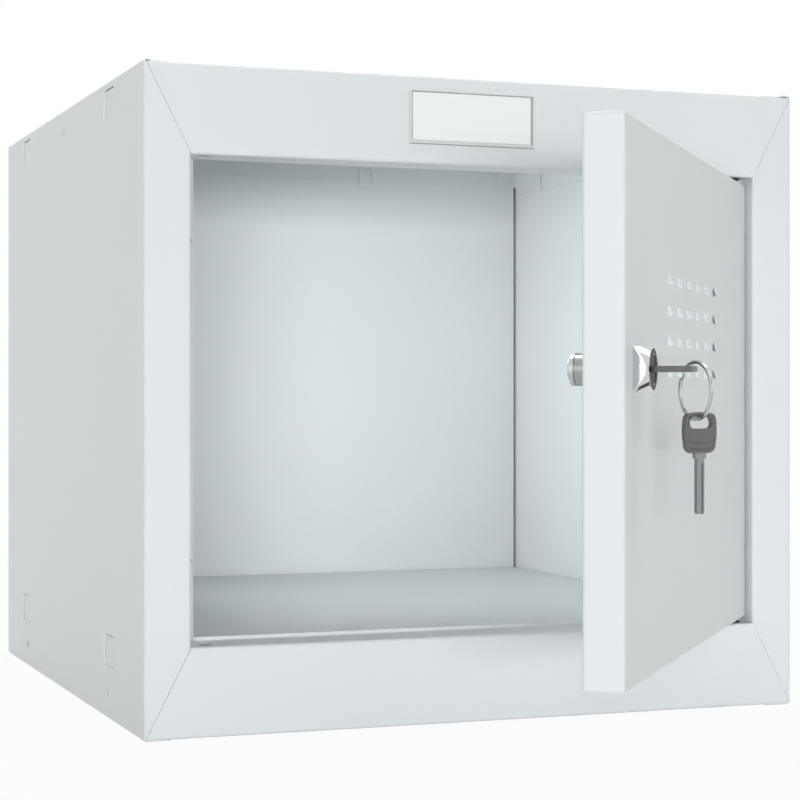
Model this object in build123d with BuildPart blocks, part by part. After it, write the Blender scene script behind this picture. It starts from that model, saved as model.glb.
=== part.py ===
from build123d import *
import math
import os

# Cube locker: a welded sheet-steel body with one hinged door, standing partly open.
# X runs across the front, Y into the depth and Z up. The origin is the centre of the footprint.

# Body
width = 400.0
depth = 400.0
height = 367.0
sheet = 0.8
bend = 2.0  # outer radius of a folded edge
overrun = 5.0  # how far a cut runs past the metal

# Front frame
stile_width = 26.0
bottom_rail_height = 50.0
top_rail_height = 50.5
return_depth = 27.0
stop_width = 8.5
upstand_height = 10.0
mitre_seam = 0.25
foot_flange = 15.0
roof_gap = 0.8  # between the top panel and the flanges over it
flange_notch = 6.5  # from the front bend to the front end of the top flanges
flange_root = 3.6  # from the side to the notch
rear_flange = 12.0
rail_foot_depth = 25.0
lip_height = 2.2
lip_end_gap = 0.2

# Inner panels
floor_height = 51.9
floor_flange = 18.0
top_side_flange = 23.0
top_rear_flange = 17.0
back_inset = 11.5
back_side_gap = 1.5
panel_gap = 0.1  # from the side walls to the flanges between them
gusset_thickness = 1.0
gusset_margin = 0.2

# Pressed side tabs and side holes
tab_width = 25.0
tab_height = 18.0
tab_lap = 1.0
tab_slit = 0.8
tab_top_drop = 13.4
tab_bottom_rise = 39.7
tab_top_shares = (-0.292, 0.325)
tab_bottom_shares = (-0.296, 0.326)
notch_gap = 0.3
side_hole = 5.0
upper_hole_drop = 14.0
lower_hole_rise = 15.4
upper_hole_shares = (0.017,)
lower_hole_shares = (-0.29, 0.313)

# Rear flange darts and hooked tab
dart_width = 6.8
dart_height = 7.0
dart_drop = 6.5
dart_inset = 18.5
hook_width = 9.4
hook_height = 15.0
hook_drop = 7.3
hook_slit = 0.7
hook_place = 71.7

# Hinge
pin_diameter = 6.0
pin_gap = 0.05
pin_fit = 0.02
pin_chamfer = 0.5
pivot_inset = 10.6  # from the edge of the opening to the pin
pivot_depth = 11.0  # from the front face to the pin
bush_outer = 8.8
bush_hole = 9.0
bush_flange = 13.0
bush_flange_thickness = 1.0
bush_length = 5.0
pin_reach = 5.0
open_angle = 49.7

# Door
door_thickness = 19.5
door_free_gap = 3.0
door_bottom_gap = 3.4
door_top_gap = 4.0
door_lip = 12.0
block_length = 19.0
block_nose = 5.0
block_width = 13.0
block_height = 15.0

# Door vents
vent_columns = 6
vent_rows = 4
vent_pitch_across = 25.1
vent_pitch_up = 15.05
vent_width = 17.0
vent_height = 4.6
vent_corner = 0.7
vent_top_shares = (0.03, 0.5)
vent_place = 165.0  # from the pin to the middle of the pattern
vent_rise = 220.2

# Lock
lock_inset = 27.8  # from the free edge of the door to the lock
lock_rise = 197.8
escutcheon_square = 21.2
escutcheon_corner = 1.0
escutcheon_round = 19.5
escutcheon_cone = 29.6
escutcheon_stand = 7.3
escutcheon_chamfer = 0.3
barrel_diameter = 15.4
barrel_flats = 13.6
barrel_hole_gap = 0.1
barrel_tail = 8.7  # past the inner face of the door
nut_flats = 20.6
nut_thickness = 4.0
plug_diameter = 11.0
plug_head = 13.6
plug_head_thickness = 2.4
plug_gap = 0.08
plug_sink = 0.4
keyway_gap = 0.15
tail_square = 7.6
tail_gap = 0.05

# Cam
cam_thickness = 2.0
cam_width = 15.0
cam_crank = 1.55
cam_back = 8.5
cam_bend_start = 9.3
cam_bend_end = 12.6
cam_reach = 28.0
cam_bend = 2.2
cam_corner_share = 0.46
screw_head = 9.5
screw_head_height = 1.6
screw_shank = 4.0
screw_depth = 9.0
screw_slot = 1.1
screw_slot_depth = 0.7
thread_gap = 0.05

# Keys
bow_width = 22.3
bow_length = 18.5
bow_thickness = 2.6
bow_foot_width = 20.5
bow_crown = 0.9
bow_bulge = 1.45
bow_top_corner = 3.4
bow_foot_corner = 4.8
bow_slot_width = 15.2
bow_slot_height = 5.2
bow_slot_corner = 2.55
bow_rim = 2.2
bow_stand = 0.5  # from the lock face to the bow
blade_width = 4.9
blade_length = 25.0
blade_thickness = 1.7
blade_tip = 0.7
shoulder_width = 7.4
shoulder_length = 2.3
groove_width = 1.2
groove_depth = 0.4
groove_side = 0.9  # from the middle of the blade

# Ring and hanging key
ring_wire = 1.6
ring_radius = 12.9  # to the middle of the wire
ring_gap = 0.3
ring_offset = 0.55  # from the end of the bow to the middle of the ring
ring_shift = 2.4  # from the middle of the bow towards the free edge of the door
ring_turn = 137.4  # heading of the ring's plane from the door's long direction to its outward one
spare_turn = 30.2  # heading of the hanging key's width from the door's long direction
spare_shift = 2.4  # from the ring's lowest point to the middle of the hanging key
hang_gap = 0.25

# Label
label_width = 77.4
label_height = 30.3
label_thickness = 1.6
label_offset = -9.1
label_rise = 10.8  # from the edge of the opening
frame_side = 2.3
frame_top = 1.1
frame_bottom = 2.4
pocket_depth = 0.9
pocket_lap = 0.7
card_thickness = 0.4
card_gap = 0.15
frame_bevel = 0.5

# Buffers
buffer_diameter = 5.0
buffer_gap = 0.25
buffer_inset = 4.0  # from the edge of the opening
buffer_margin = 45.0  # from the ends of the opening
buffer_round = 0.6

# Places worked out from the sizes above
half_width = width / 2
half_depth = depth / 2
front = -half_depth
wall_face = half_width - sheet
opening_half = half_width - stile_width
opening_bottom = bottom_rail_height
opening_top = height - top_rail_height
return_back = front + return_depth
stop_edge = opening_half - stop_width
roof = height - sheet - roof_gap
back_face = half_depth - back_inset
back_rear = half_depth - sheet
back_half = wall_face - back_side_gap
panel_half = wall_face - panel_gap
inner_bend = bend - sheet

pivot = Vector(opening_half - pivot_inset, front + pivot_depth)
half_door = door_thickness / 2
door_bottom = opening_bottom + door_bottom_gap
door_top = opening_top - door_top_gap
door_height = door_top - door_bottom
door_width = pivot.X + opening_half - door_free_gap
lock_place = door_width - lock_inset

along = Vector(math.cos(math.radians(open_angle)), math.sin(math.radians(open_angle)))
outward = Vector(along.Y, -along.X)
up = Vector(0, 0, 1)
door_plan = Plane(origin=pivot, x_dir=along, z_dir=up)
door_face = Plane(origin=pivot + outward * half_door, x_dir=along, z_dir=outward)
lock_point = door_face.origin - along * lock_place + up * lock_rise
lock_face = Plane(origin=lock_point, x_dir=along, z_dir=outward)
lock_plan = Plane(origin=lock_point, x_dir=along, z_dir=up)
barrel_length = door_thickness + barrel_tail


def heading(turn):
    """The horizontal direction at an angle from the door's long direction to its outward one."""
    return along * math.cos(math.radians(turn)) + outward * math.sin(math.radians(turn))


def folded_section(plane, points, radii, side):
    """Section of a sheet folded along the points, with its thickness on one side of them."""
    with BuildSketch(plane) as section:
        with BuildLine():
            FilletPolyline(*points, radius=radii)
            offset(amount=sheet, side=side)
        make_face()
    return section.sketch


def stile_wedge(corner_z, inner_z):
    """Front area on the opening's side of a mitre, at the left corner with that height."""
    shift = mitre_seam / 2
    with BuildSketch(Plane.XZ.offset(-front - bend)) as wedge:
        with BuildLine():
            Polyline(
                (-half_width - shift, corner_z),
                (-opening_half - shift, inner_z),
                (-stop_edge, inner_z),
                (-stop_edge, corner_z),
                close=True,
            )
        make_face()
    return wedge.sketch


def rail_wedge(corner_z, inner_z, past_z):
    """Front area on the stile's side of a mitre, at the left corner with that height."""
    shift = mitre_seam / 2
    with BuildSketch(Plane.XZ.offset(-return_back)) as wedge:
        with BuildLine():
            Polyline(
                (-half_width - overrun, corner_z),
                (-half_width + shift, corner_z),
                (-opening_half + shift, inner_z),
                (-opening_half + shift, past_z),
                (-half_width - overrun, past_z),
                close=True,
            )
        make_face()
    return wedge.sketch


def outward_cut(sketches):
    """Both mitre cuts of a rail, the left ones and their mirror images."""
    left = extrude(sketches, amount=return_depth + overrun, mode=Mode.PRIVATE)
    return [left, mirror(left, about=Plane.YZ, mode=Mode.PRIVATE)]


tab_places = [(depth * share, height - tab_top_drop) for share in tab_top_shares]
tab_places += [(depth * share, tab_bottom_rise) for share in tab_bottom_shares]
hole_places = [(depth * share, height - upper_hole_drop) for share in upper_hole_shares]
hole_places += [(depth * share, lower_hole_rise) for share in lower_hole_shares]

# Side panels, each a tray with its rim towards the other, and the folded return of its stile
return_outline = [
    (-opening_half - 2 * bend, front),
    (-opening_half, front),
    (-opening_half, return_back),
    (-stop_edge, return_back),
]
with BuildPart() as side_panel_left:
    with BuildSketch(Plane.YZ.offset(-half_width)):
        with Locations((0, height / 2)):
            Rectangle(depth, height)
    extrude(amount=stile_width - bend)
    fillet(side_panel_left.faces().sort_by(Axis.X)[0].edges(), radius=bend)
    offset(amount=-sheet, openings=side_panel_left.faces().sort_by(Axis.X)[-1])
    with BuildSketch(Plane.XY):
        with Locations((-half_width + rear_flange, half_depth)):
            Rectangle(stile_width, 2 * bend, align=(Align.MIN, Align.CENTER))
        with Locations((-half_width + foot_flange, front + bend)):
            Rectangle(stile_width, depth, align=(Align.MIN, Align.MIN))
    extrude(amount=height, mode=Mode.SUBTRACT)
    with BuildSketch(Plane.XY.offset(height - bend)):
        with Locations((-half_width + flange_root, front + bend)):
            Rectangle(foot_flange, flange_notch, align=(Align.MIN, Align.MIN))
    extrude(amount=bend, mode=Mode.SUBTRACT)
    section = folded_section(
        Plane.XY.offset(opening_bottom - 2 * bend), return_outline, [bend, inner_bend], Side.LEFT
    )
    extrude(section, amount=opening_top - opening_bottom + 4 * bend)
    for corner_z, inner_z, past_z in (
        (height, opening_top, opening_top + 3 * bend),
        (0, opening_bottom, opening_bottom - 3 * bend),
    ):
        extrude(stile_wedge(corner_z, inner_z), amount=bend + overrun, mode=Mode.SUBTRACT)
        with BuildSketch(Plane.XZ.offset(-return_back)):
            with BuildLine():
                Polyline(
                    (-opening_half - bend, inner_z),
                    (-stop_edge, inner_z),
                    (-stop_edge, past_z),
                    (-opening_half - bend, past_z),
                    close=True,
                )
            make_face()
        extrude(amount=return_depth - bend, mode=Mode.SUBTRACT)
    with BuildSketch(Plane.YZ.offset(-wall_face)):
        with Locations(*tab_places):
            Rectangle(tab_width, tab_height)
        with Locations(*hole_places):
            Circle(side_hole / 2)
    extrude(amount=-overrun, mode=Mode.SUBTRACT)
    with BuildSketch(Plane.YZ.offset(-wall_face)):
        for place_y, place_z in tab_places:
            with Locations((place_y - tab_width / 2 - tab_lap, place_z - tab_height / 2 - tab_lap)):
                Rectangle(tab_width + tab_lap - tab_slit, tab_height + tab_lap - tab_slit,
                          align=(Align.MIN, Align.MIN))
    extrude(amount=sheet)
side_panel_left.part.label = "side_panel_left"

with BuildPart() as side_panel_right:
    mirror(side_panel_left.part, about=Plane.YZ)
side_panel_right.part.label = "side_panel_right"

# Top panel with the front top rail
top_outline = [
    (return_back, opening_top + upstand_height),
    (return_back, opening_top),
    (front, opening_top),
    (front, roof),
    (back_face, roof),
    (back_face, height - top_rear_flange),
]
with BuildPart() as top_panel:
    section = folded_section(Plane.YZ, top_outline, bend, Side.RIGHT)
    extrude(section, amount=panel_half, both=True)
    flange_bottom = height - top_side_flange
    with BuildSketch(Plane.YZ.offset(panel_half)):
        with Locations((return_back + sheet, flange_bottom)):
            Rectangle(back_face - return_back - 2 * sheet, roof - sheet - flange_bottom,
                      align=(Align.MIN, Align.MIN))
        with Locations(*tab_places):
            Rectangle(tab_width + 2 * (tab_lap + notch_gap), tab_height + 2 * (tab_lap + notch_gap),
                      mode=Mode.SUBTRACT)
        with Locations(*hole_places):
            Circle(side_hole / 2, mode=Mode.SUBTRACT)
        for place_y, place_z in tab_places[:len(tab_top_shares)]:
            with Locations((place_y, flange_bottom)):
                Rectangle(tab_width + 2 * (tab_lap + notch_gap), tab_height, mode=Mode.SUBTRACT)
    flange = extrude(amount=-sheet)
    mirror(flange, about=Plane.YZ)
    add(outward_cut(rail_wedge(height, opening_top, opening_top - overrun)), mode=Mode.SUBTRACT)
    with BuildSketch(Plane.XY.offset(opening_top)):
        with Locations((pivot.X, pivot.Y), (-pivot.X, pivot.Y)):
            Circle(bush_hole / 2)
    extrude(amount=upstand_height, mode=Mode.SUBTRACT)
    with BuildSketch(Plane.XZ.offset(-back_face)):
        for side in (-1, 1):
            with Locations((side * (wall_face - dart_inset), height - dart_drop)):
                Triangle(a=dart_width, b=dart_height, c=dart_height, rotation=180,
                         align=(Align.CENTER, Align.MIN))
        with Locations((hook_place, height - hook_drop + hook_slit)):
            Rectangle(hook_width + 2 * hook_slit, 2 * hook_height, align=(Align.CENTER, Align.MAX))
    extrude(amount=sheet + overrun, mode=Mode.SUBTRACT)
top_panel.part.label = "top_panel"

# Bottom rail
bottom_outline = [
    (return_back, opening_bottom + lip_height),
    (return_back, opening_bottom),
    (front, opening_bottom),
    (front, sheet),
    (front + rail_foot_depth, sheet),
]
with BuildPart() as bottom_rail:
    section = folded_section(Plane.YZ, bottom_outline, [inner_bend, bend, bend], Side.LEFT)
    extrude(section, amount=panel_half, both=True)
    add(outward_cut(rail_wedge(0, opening_bottom, opening_bottom + overrun)), mode=Mode.SUBTRACT)
    with BuildSketch(Plane.XY.offset(opening_bottom - overrun)):
        for side in (-1, 1):
            with Locations((side * (stop_edge - lip_end_gap), return_back - inner_bend)):
                ends = (Align.MIN if side > 0 else Align.MAX, Align.MIN)
                Rectangle(stile_width + stop_width, return_depth, align=ends)
        with Locations((pivot.X, pivot.Y), (-pivot.X, pivot.Y)):
            Circle(bush_hole / 2)
    extrude(amount=2 * overrun, mode=Mode.SUBTRACT)
    with BuildSketch(Plane.XY):
        for side in (-1, 1):
            with Locations((side * (wall_face - inner_bend - panel_gap), front + bend)):
                ends = (Align.MIN if side > 0 else Align.MAX, Align.MIN)
                Rectangle(foot_flange, rail_foot_depth, align=ends)
    extrude(amount=2 * bend, mode=Mode.SUBTRACT)
bottom_rail.part.label = "bottom_rail"

# Floor
floor_front = return_back + sheet
with BuildPart() as floor_tray:
    with BuildSketch(Plane.XY.offset(floor_height)):
        with Locations((0, floor_front)):
            Rectangle(2 * panel_half, back_face - floor_front, align=(Align.CENTER, Align.MIN))
    extrude(amount=-floor_flange)
    fillet(floor_tray.faces().sort_by(Axis.Z)[-1].edges(), radius=bend)
    offset(amount=-sheet, openings=floor_tray.faces().sort_by(Axis.Z)[0])
    with BuildSketch(Plane.XY.offset(tab_bottom_rise + tab_height / 2 + tab_lap + notch_gap)):
        for share in tab_bottom_shares:
            for side in (-1, 1):
                with Locations((side * wall_face, depth * share)):
                    Rectangle(2 * (sheet + notch_gap), tab_width + 2 * (tab_lap + notch_gap))
    extrude(amount=-floor_flange, mode=Mode.SUBTRACT)
floor_tray.part.label = "floor_tray"

# Back, a pan with its flanges to the rear, and the tab hooked through the top flange
with BuildPart() as back_panel:
    with BuildSketch(Plane.XZ.offset(-back_face)):
        with Locations((0, sheet)):
            Rectangle(2 * back_half, roof - sheet, align=(Align.CENTER, Align.MIN))
    extrude(amount=back_face - back_rear)
    fillet(back_panel.faces().sort_by(Axis.Y)[0].edges(), radius=bend)
    offset(amount=-sheet, openings=back_panel.faces().sort_by(Axis.Y)[-1])
    with BuildSketch(Plane.XZ.offset(-back_face)):
        with Locations((hook_place, height - hook_drop)):
            Rectangle(hook_width, hook_height, align=(Align.CENTER, Align.MAX))
    extrude(amount=sheet)
back_panel.part.label = "back_panel"

# Gusset plates behind the four mitres
with BuildPart() as corner_plates:
    with BuildSketch(Plane.XZ.offset(-front - sheet)):
        for low, high in ((opening_top, roof), (sheet, opening_bottom)):
            plate_bottom = low + bend + gusset_margin
            for side in (-1, 1):
                with Locations((side * (opening_half + bend + gusset_margin), plate_bottom)):
                    ends = (Align.MIN if side > 0 else Align.MAX, Align.MIN)
                    Rectangle(stile_width - 2 * (bend + gusset_margin),
                              high - low - 2 * (bend + gusset_margin), align=ends)
    extrude(amount=-gusset_thickness)
corner_plates.part.label = "corner_plates"


def bush(plane):
    """A flanged bush with its flange on the plane, and its barrel behind the flange."""
    with BuildPart() as flanged_bush:
        with BuildSketch(plane):
            Circle(bush_flange / 2)
        extrude(amount=bush_flange_thickness)
        with BuildSketch(plane):
            Circle(bush_outer / 2)
        extrude(amount=-bush_length)
        with BuildSketch(plane.offset(-bush_length)):
            Circle(pin_diameter / 2 + pin_gap)
        extrude(amount=bush_length + bush_flange_thickness, mode=Mode.SUBTRACT)
    return flanged_bush.part


# Nylon bushes in the returns of both rails
upper_bush_plane = Plane(origin=pivot + up * opening_top, z_dir=-up)
lower_bush_plane = Plane(origin=pivot + up * opening_bottom, z_dir=up)
with BuildPart() as pivot_bushes:
    add([bush(upper_bush_plane), bush(lower_bush_plane)])
pivot_bushes.part.label = "pivot_bushes"

# Label holder and its blank card
window_width = label_width - 2 * frame_side
window_height = label_height - frame_top - frame_bottom
label_bottom = opening_top + label_rise
window_bottom = label_bottom + frame_bottom
with BuildPart() as label_holder:
    with BuildSketch(Plane.XZ.offset(-front)):
        with Locations((label_offset, label_bottom)):
            Rectangle(label_width, label_height, align=(Align.CENTER, Align.MIN))
    extrude(amount=label_thickness)
    chamfer(label_holder.faces().sort_by(Axis.Y)[0].edges(), length=frame_bevel)
    with BuildSketch(Plane.XZ.offset(-front)):
        with Locations((label_offset, window_bottom)):
            Rectangle(window_width, window_height, align=(Align.CENTER, Align.MIN))
    extrude(amount=label_thickness, mode=Mode.SUBTRACT)
    with BuildSketch(Plane.XZ.offset(-front)):
        with Locations((label_offset, window_bottom + window_height / 2)):
            Rectangle(window_width + 2 * pocket_lap, window_height + 2 * pocket_lap)
    extrude(amount=pocket_depth, mode=Mode.SUBTRACT)
label_holder.part.label = "label_holder"

with BuildPart() as label_card:
    with BuildSketch(Plane.XZ.offset(-front)):
        with Locations((label_offset, window_bottom + window_height / 2)):
            Rectangle(window_width + 2 * (pocket_lap - card_gap), window_height + 2 * (pocket_lap - card_gap))
    extrude(amount=card_thickness)
label_card.part.label = "label_card"

# Rubber buffers on the stop flange of the free side
closed_inner_face = pivot.Y + half_door
with BuildPart() as door_buffers:
    with BuildSketch(Plane.XZ.offset(-return_back)):
        buffer_x = -opening_half + buffer_inset
        with Locations((buffer_x, opening_bottom + buffer_margin), (buffer_x, opening_top - buffer_margin)):
            Circle(buffer_diameter / 2)
    extrude(amount=return_back - closed_inner_face - buffer_gap)
    fillet(door_buffers.faces().sort_by(Axis.Y)[:2].edges(), radius=buffer_round)
door_buffers.part.label = "door_buffers"


def door_section(plane, inset):
    """Plan section of the door, with a rolled hinge edge round the pin, drawn in by an inset."""
    with BuildSketch(plane) as section:
        with BuildLine():
            FilletPolyline((0, -half_door), (-door_width, -half_door), (-door_width, half_door),
                           (0, half_door), radius=bend)
            ThreePointArc((0, half_door), (half_door, 0), (0, -half_door))
        make_face()
        if inset:
            offset(amount=-inset)
    return section.sketch


# Door skin, hollow, with an open inner side between its lips
lock_hole_centre = (-lock_place, lock_rise)
with BuildPart() as door_skin:
    extrude(door_section(door_plan.offset(door_bottom), 0), amount=door_height)
    outer_face = door_skin.faces().sort_by(Axis(pivot, outward))[-1]
    fillet(outer_face.edges().filter_by(Axis(pivot, along)), radius=bend)
    extrude(door_section(door_plan.offset(door_bottom + sheet), sheet), amount=door_height - 2 * sheet,
            mode=Mode.SUBTRACT)
    with BuildSketch(door_face.offset(-door_thickness)):
        with Locations((-door_width / 2, door_bottom + door_height / 2)):
            Rectangle(door_width - 2 * door_lip, door_height - 2 * door_lip)
    extrude(amount=2 * sheet, mode=Mode.SUBTRACT)
    with BuildSketch(door_face):
        with Locations((-vent_place, vent_rise)):
            with GridLocations(vent_pitch_across, vent_pitch_up, vent_columns, vent_rows):
                Polygon(
                    (0, 0),
                    (vent_width, 0),
                    (vent_width * vent_top_shares[1], vent_height),
                    (vent_width * vent_top_shares[0], vent_height),
                    align=(Align.CENTER, Align.CENTER),
                )
        fillet(vertices(), radius=vent_corner)
        with Locations(lock_hole_centre):
            Circle(barrel_diameter / 2 + barrel_hole_gap)
    extrude(amount=-2 * sheet, mode=Mode.SUBTRACT)
    with BuildSketch(door_plan.offset(door_bottom - overrun)):
        Circle(pin_diameter / 2 + pin_fit)
    extrude(amount=door_height + 2 * overrun, mode=Mode.SUBTRACT)
door_skin.part.label = "door_skin"

# Blocks inside the hinge edge, and the pins that they hold
with BuildPart() as pivot_blocks:
    for base in (door_bottom + sheet, door_top - sheet - block_height):
        with BuildSketch(door_plan.offset(base)):
            with Locations((block_nose, 0)):
                Rectangle(block_length, block_width, align=(Align.MAX, Align.CENTER))
            Circle(pin_diameter / 2 + pin_fit, mode=Mode.SUBTRACT)
        extrude(amount=block_height)
pivot_blocks.part.label = "pivot_blocks"

pin_length = block_height + sheet + door_top_gap + pin_reach
with BuildPart() as pivot_pins:
    with BuildSketch(door_plan.offset(door_bottom + sheet + block_height)):
        Circle(pin_diameter / 2)
    extrude(amount=-(block_height + sheet + door_bottom_gap + pin_reach))
    with BuildSketch(door_plan.offset(door_top - sheet - block_height)):
        Circle(pin_diameter / 2)
    extrude(amount=pin_length)
    chamfer(pivot_pins.edges().filter_by(GeomType.CIRCLE), length=pin_chamfer)
pivot_pins.part.label = "pivot_pins"


def barrel_section(plane, gap):
    """Round section of the lock barrel with two flats, enlarged by a gap."""
    with BuildSketch(plane) as section:
        Circle(barrel_diameter / 2 + gap)
        Rectangle(barrel_diameter + 2 * gap, barrel_flats + 2 * gap, mode=Mode.INTERSECT)
    return section.sketch


# Lock housing, its square escutcheon cut round by a cone, bored for the plug
head_depth = plug_head_thickness + plug_sink
with BuildPart() as lock_body:
    with BuildSketch(lock_face):
        RectangleRounded(escutcheon_square, escutcheon_square, escutcheon_corner)
    extrude(amount=escutcheon_stand)
    with BuildSketch(lock_face):
        Circle(escutcheon_cone / 2)
    with BuildSketch(lock_face.offset(escutcheon_stand)):
        Circle(escutcheon_round / 2)
    loft(mode=Mode.INTERSECT)
    chamfer(lock_body.faces().sort_by(Axis(lock_point, outward))[-1].edges(), length=escutcheon_chamfer)
    extrude(barrel_section(lock_face, 0), amount=-barrel_length)
    with BuildSketch(lock_face.offset(escutcheon_stand)):
        Circle(plug_diameter / 2 + plug_gap)
    extrude(amount=-escutcheon_stand - barrel_length, mode=Mode.SUBTRACT)
    with BuildSketch(lock_face.offset(escutcheon_stand)):
        Circle(plug_head / 2 + plug_gap)
    extrude(amount=-head_depth, mode=Mode.SUBTRACT)
lock_body.part.label = "lock_body"

with BuildPart() as lock_nut:
    with BuildSketch(lock_face.offset(-sheet)):
        RegularPolygon(nut_flats / 2, side_count=6, major_radius=False)
        Circle(barrel_diameter / 2 + barrel_hole_gap, mode=Mode.SUBTRACT)
    extrude(amount=-nut_thickness)
lock_nut.part.label = "lock_nut"

# Rotating plug with its keyway, a seat for the key's shoulder and a square tail
plug_face = escutcheon_stand - plug_sink
bow_start = escutcheon_stand + bow_stand
shoulder_start = bow_start - shoulder_length
keyway_end = shoulder_start - blade_length - blade_tip
with BuildPart() as lock_plug:
    with BuildSketch(lock_face.offset(plug_face)):
        Circle(plug_head / 2)
    extrude(amount=-plug_head_thickness)
    with BuildSketch(lock_face.offset(plug_face)):
        Circle(plug_diameter / 2)
    extrude(amount=-plug_face - barrel_length)
    with BuildSketch(lock_face.offset(-barrel_length)):
        Rectangle(tail_square, tail_square)
    extrude(amount=-cam_thickness)
    with BuildSketch(lock_face.offset(plug_face)):
        Rectangle(blade_width + 2 * keyway_gap, blade_thickness + 2 * keyway_gap)
    extrude(amount=keyway_end - plug_face, mode=Mode.SUBTRACT)
    with BuildSketch(lock_face.offset(plug_face)):
        Rectangle(shoulder_width + 2 * keyway_gap, blade_thickness + 2 * keyway_gap)
    extrude(amount=shoulder_start - keyway_gap - plug_face, mode=Mode.SUBTRACT)
    with BuildSketch(lock_face.offset(-barrel_length - cam_thickness)):
        Circle(screw_shank / 2 + thread_gap)
    extrude(amount=screw_depth, mode=Mode.SUBTRACT)
lock_plug.part.label = "lock_plug"

# Cranked cam, pointing to the hinge while unlocked
cam_points = [
    (-cam_back, barrel_length),
    (cam_bend_start, barrel_length),
    (cam_bend_end, barrel_length - cam_crank),
    (cam_reach, barrel_length - cam_crank),
]
with BuildPart() as lock_cam:
    with BuildSketch(lock_plan):
        with BuildLine():
            FilletPolyline(*cam_points, radius=cam_bend)
            offset(amount=cam_thickness, side=Side.LEFT)
        make_face()
    extrude(amount=cam_width / 2, both=True)
    tips = lock_cam.edges().filter_by(Axis(lock_point, outward))
    fillet(tips, radius=cam_width * cam_corner_share)
    with BuildSketch(lock_face.offset(-barrel_length)):
        Rectangle(tail_square + 2 * tail_gap, tail_square + 2 * tail_gap)
    extrude(amount=-cam_thickness, mode=Mode.SUBTRACT)
lock_cam.part.label = "lock_cam"

with BuildPart() as cam_screw:
    with BuildSketch(lock_face.offset(-barrel_length - cam_thickness)):
        Circle(screw_head / 2)
    extrude(amount=-screw_head_height)
    with BuildSketch(lock_face.offset(-barrel_length - cam_thickness - screw_head_height)):
        Rectangle(screw_head, screw_slot)
    extrude(amount=screw_slot_depth, mode=Mode.SUBTRACT)
    with BuildSketch(lock_face.offset(-barrel_length - cam_thickness)):
        Circle(screw_shank / 2)
    extrude(amount=screw_depth - screw_shank / 2)
cam_screw.part.label = "cam_screw"


def key_blade_solid(plane):
    """Flat key blade with its shoulder, drawn down from the bow's lower edge at the origin."""
    with BuildPart() as blade:
        with BuildSketch(plane):
            with BuildLine():
                Polyline(
                    (-shoulder_width / 2, 0),
                    (shoulder_width / 2, 0),
                    (shoulder_width / 2, -shoulder_length),
                    (blade_width / 2, -shoulder_length),
                    (blade_width / 2, -shoulder_length - blade_length + blade_tip),
                    (blade_width / 2 - blade_tip, -shoulder_length - blade_length),
                    (-blade_width / 2 + blade_tip, -shoulder_length - blade_length),
                    (-blade_width / 2, -shoulder_length - blade_length + blade_tip),
                    (-blade_width / 2, -shoulder_length),
                    (-shoulder_width / 2, -shoulder_length),
                    close=True,
                )
            make_face()
        extrude(amount=blade_thickness / 2, both=True)
        for face in (-1, 1):
            with BuildSketch(plane.offset(face * blade_thickness / 2)):
                with Locations((face * groove_side, -shoulder_length - blade_length)):
                    Rectangle(groove_width, 2 * blade_length - 2 * shoulder_length)
            extrude(amount=-face * groove_depth, mode=Mode.SUBTRACT)
    return blade.part


def key_bow_solid(plane):
    """Moulded key bow with a ring slot beside its outer rim, drawn up from its lower edge."""
    shoulder = bow_length - bow_crown
    top_half = bow_width / 2 - bow_bulge
    foot_half = bow_foot_width / 2 - bow_bulge
    middle_half = (top_half + foot_half) / 2 + bow_bulge
    with BuildPart() as bow:
        with BuildSketch(plane):
            with BuildLine():
                ThreePointArc((-top_half, shoulder), (0, bow_length), (top_half, shoulder))
                ThreePointArc((top_half, shoulder), (middle_half, shoulder / 2), (foot_half, 0))
                Line((foot_half, 0), (-foot_half, 0))
                ThreePointArc((-foot_half, 0), (-middle_half, shoulder / 2), (-top_half, shoulder))
            make_face()
            fillet(vertices().group_by(Axis.Y)[-1], radius=bow_top_corner)
            fillet(vertices().group_by(Axis.Y)[0], radius=bow_foot_corner)
            with Locations((0, bow_length - bow_rim - bow_slot_height / 2)):
                RectangleRounded(bow_slot_width, bow_slot_height, bow_slot_corner, mode=Mode.SUBTRACT)
        extrude(amount=bow_thickness / 2, both=True)
    return bow.part


# Key in the lock, its plane level
key_plane = Plane(origin=lock_point + outward * bow_start, x_dir=along, z_dir=-up)
with BuildPart() as key_blade:
    add(key_blade_solid(key_plane))
key_blade.part.label = "key_blade"

with BuildPart() as key_bow:
    add(key_bow_solid(key_plane))
key_bow.part.label = "key_bow"

# Split ring through the slot, round the outer rim of the bow
ring_heading = heading(ring_turn)
inner_radius = ring_radius - ring_wire / 2
rim_offset = (bow_rim / 2 + ring_gap) / abs(ring_heading.dot(outward))
rim_top = bow_thickness / 2 + ring_gap
ring_drop = math.sqrt(inner_radius ** 2 - (2 * rim_offset) ** 2) - rim_top
ring_stand = bow_start + bow_length + ring_offset
ring_centre = lock_point + outward * ring_stand - along * ring_shift - up * ring_drop
ring_plane = Plane(origin=ring_centre, x_dir=ring_heading, z_dir=ring_heading.cross(up))
with BuildPart() as key_ring:
    with BuildSketch(Plane(origin=ring_centre + ring_heading * ring_radius, x_dir=ring_heading, z_dir=up)):
        Circle(ring_wire / 2)
    revolve(axis=Axis(ring_centre, ring_plane.z_dir), revolution_arc=360)
key_ring.part.label = "key_ring"

# Spare key hanging from the bottom of the ring
spare_heading = heading(spare_turn)
hang_point = ring_centre - up * (ring_radius - ring_wire / 2 - hang_gap)
spare_origin = hang_point + up * (bow_rim - bow_length) + spare_heading * spare_shift
spare_plane = Plane(origin=spare_origin, x_dir=spare_heading, z_dir=spare_heading.cross(up))
with BuildPart() as spare_key_blade:
    add(key_blade_solid(spare_plane))
spare_key_blade.part.label = "spare_key_blade"

with BuildPart() as spare_key_bow:
    add(key_bow_solid(spare_plane))
spare_key_bow.part.label = "spare_key_bow"

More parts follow.
